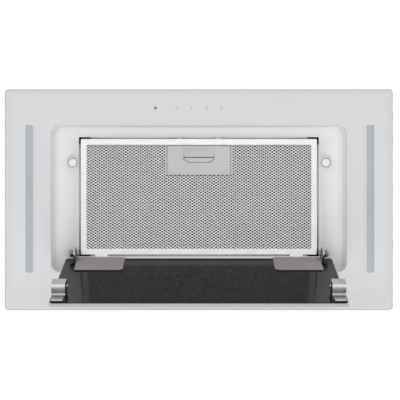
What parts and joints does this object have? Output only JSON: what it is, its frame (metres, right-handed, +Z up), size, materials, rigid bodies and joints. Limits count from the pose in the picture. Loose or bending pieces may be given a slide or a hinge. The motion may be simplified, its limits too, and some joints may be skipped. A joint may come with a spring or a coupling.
{
  "type": "under cabinet range hood",
  "caption": "Built-in hood with a white glass face, recessed grease filter, drop-down suction panel on side hinges, magnets, lamps, blower and round duct collar",
  "frame": {"origin": "centre of the cabinet cut-out, in the plane of the flange face that seats under the cabinet", "axes": "+X along the face, -Y front with the touch controls, +Y hinge side of the panel, +Z up into the cabinet"},
  "size_m": [0.52, 0.296, 0.3987],
  "materials": {
    "white_glass": "white enamelled toughened glass, polished edges",
    "white_paint": "white powder coat",
    "zinc_steel": "zinc coated sheet steel",
    "stainless": "satin stainless steel",
    "magnet_face": "nickel plated magnet",
    "white_plastic": "moulded, satin",
    "lamp_cover": "frosted strip",
    "filter_aluminium": "mill finish",
    "filter_wool": "layered knitted aluminium foil, mostly air",
    "lamp_aluminium": "extruded",
    "circuit_board": "white solder mask",
    "dark_lining": "dark brown gloss film",
    "leaf_grey": "grey metallic coat",
    "black_plastic": "moulded, satin",
    "latch_grey": "moulded, satin",
    "motor_metal": "cast and drawn"
  },
  "bodies": {
    "hood": {"face_glass": "white_glass", "face_carrier": "zinc_steel", "recess_pan": "white_paint", "hinge_ear_left": "zinc_steel", "hinge_ear_right": "zinc_steel", "hinge_washer_left": "white_plastic", "hinge_washer_right": "white_plastic", "hinge_screw_left": "stainless", "hinge_screw_right": "stainless", "hinge_nut_left": "stainless", "hinge_nut_right": "stainless", "magnet_cup_left": "white_plastic", "magnet_cup_right": "white_plastic", "magnet_disc_left": "magnet_face", "magnet_disc_right": "magnet_face", "lamp_cover_left": "lamp_cover", "lamp_cover_right": "lamp_cover", "lamp_housing_left": "lamp_aluminium", "lamp_housing_right": "lamp_aluminium", "lamp_board_left": "circuit_board", "lamp_board_right": "circuit_board", "touch_board": "circuit_board", "body_shell": "zinc_steel", "control_box": "black_plastic", "cable_gland": "black_plastic", "scroll_wrap": "zinc_steel", "scroll_side_left": "zinc_steel", "scroll_side_right": "zinc_steel", "blower_motor": "motor_metal", "motor_bracket": "zinc_steel", "motor_capacitor": "motor_metal", "outlet_plate": "black_plastic", "outlet_collar": "black_plastic", "flap_pin": "stainless"},
    "panel": {"panel_glass": "white_glass", "panel_lining": "dark_lining", "hinge_leaf_left": "leaf_grey", "hinge_leaf_right": "leaf_grey", "catch_block_left": "black_plastic", "catch_block_right": "black_plastic", "catch_strip_left": "stainless", "catch_strip_right": "stainless", "catch_screw_left": "stainless", "catch_screw_right": "stainless"},
    "filter": {"filter_frame": "filter_aluminium", "front_mesh_outer": "filter_aluminium", "front_mesh_inner": "filter_aluminium", "filter_pad": "filter_wool", "rear_mesh": "filter_aluminium", "latch_plate": "latch_grey", "latch_spring": "stainless"},
    "latch": {"latch_slider": "latch_grey"},
    "wheel": {"blower_wheel": "black_plastic"},
    "rear_flap": {"flap_rear": "black_plastic"},
    "front_flap": {"flap_front": "black_plastic"}
  },
  "joints": [
    {"name": "panel_hinge", "type": "hinge", "parent": "hood", "child": "panel", "pos_m": [0, 0.0727, 0.0087], "axis": [1, 0, 0], "range_deg": [-106, 0]},
    {"name": "filter_tilt", "type": "hinge", "parent": "hood", "child": "filter", "pos_m": [0, 0.07715, 0.0231], "axis": [1, 0, 0], "range_deg": [0, 80]},
    {"name": "latch_slide", "type": "slide", "parent": "filter", "child": "latch", "axis": [0, 1, 0], "range_m": [0, 0.006], "stiffness_N_per_m": 400, "springref_m": -0.002, "deforming": ["latch_spring"]},
    {"name": "wheel_spin", "type": "hinge", "parent": "hood", "child": "wheel", "pos_m": [0, -0.036, 0.128], "axis": [1, 0, 0], "continuous": true},
    {"name": "rear_flap_hinge", "type": "hinge", "parent": "hood", "child": "rear_flap", "pos_m": [0, 0.02631, 0.2255], "axis": [1, 0, 0], "range_deg": [0, 80]},
    {"name": "front_flap_hinge", "type": "hinge", "parent": "hood", "child": "front_flap", "pos_m": [0, 0.02631, 0.2255], "axis": [-1, 0, 0], "range_deg": [0, 80]}
  ]
}
